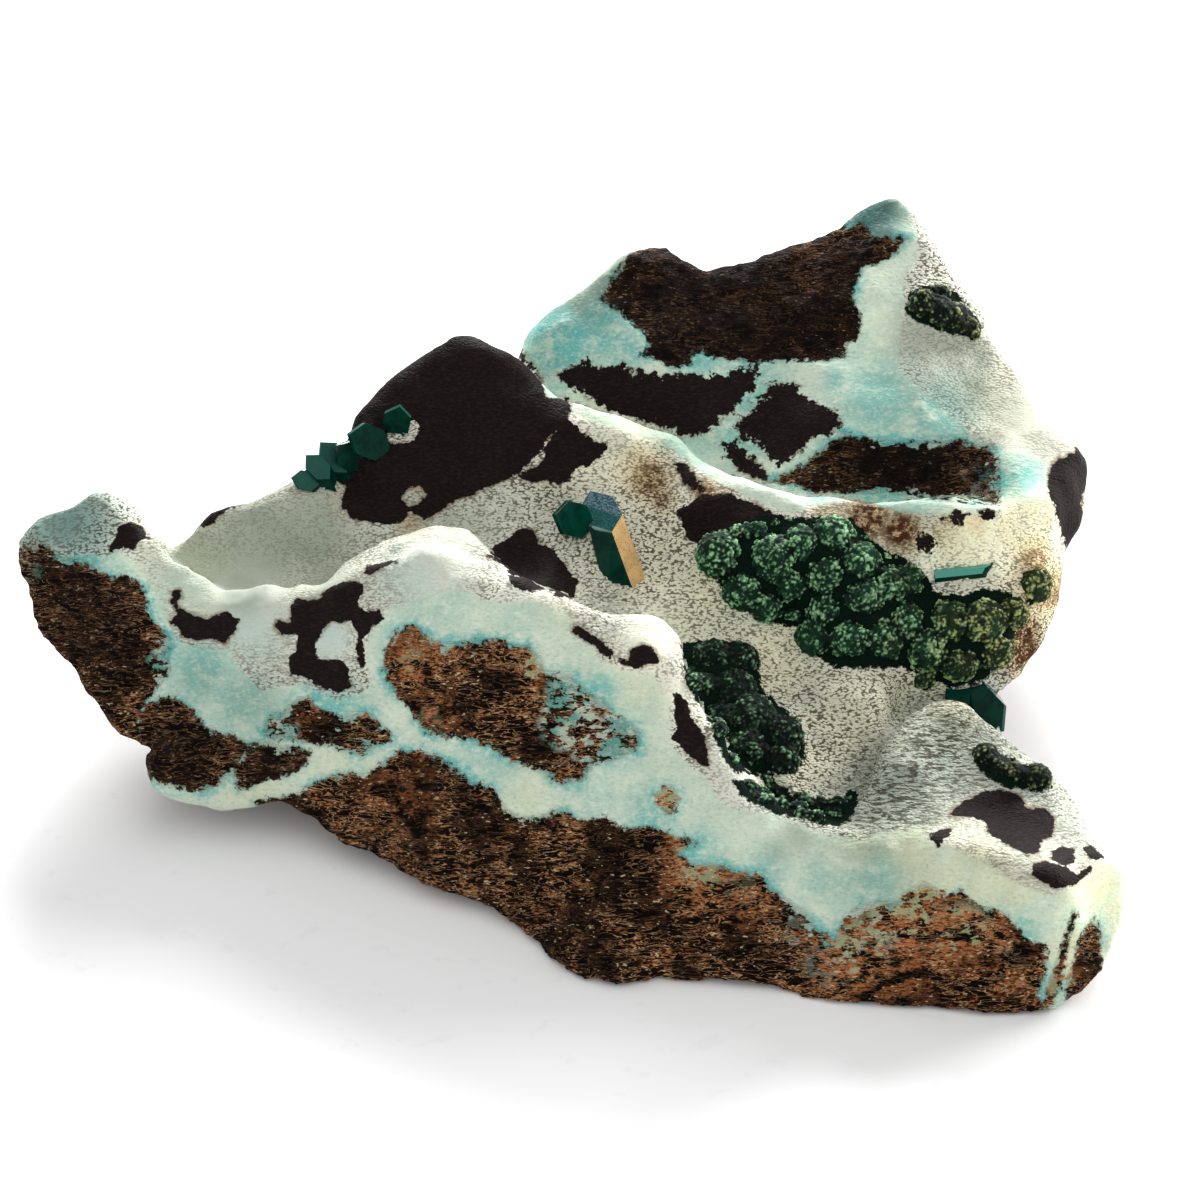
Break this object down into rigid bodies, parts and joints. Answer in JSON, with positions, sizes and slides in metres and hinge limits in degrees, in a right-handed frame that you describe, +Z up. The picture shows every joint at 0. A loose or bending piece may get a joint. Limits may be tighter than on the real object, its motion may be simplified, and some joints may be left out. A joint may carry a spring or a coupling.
{
  "type": "dioptase crystal specimen on matrix",
  "caption": "Hollowed slab of pale crusted copper rock with a dark broken core, green nodules and dark teal prismatic crystals, resting on a flat base.",
  "frame": {"origin": "centre of the plan box of the specimen, on the surface that it rests on", "axes": "+X along the specimen's longest side, from the thin left lobe to the right end; +Y from the broken front face towards the tall back; +Z up"},
  "size_m": [0.0698, 0.0574, 0.0256],
  "materials": {
    "crusted_rock": "dry matte mineral crust, pale green-white, with near-black patches and a dark brown broken core",
    "malachite": "velvety dark green nodules",
    "dioptase": "glassy flat crystal faces, deep teal green, nearly opaque"
  },
  "bodies": {
    "root": {"matrix": "crusted_rock", "malachite_upper": "malachite", "malachite_lower": "malachite", "malachite_right": "malachite", "malachite_back": "malachite", "dioptase_prism": "dioptase", "dioptase_left": "dioptase", "dioptase_right": "dioptase", "dioptase_shelf": "dioptase"}
  },
  "joints": []
}
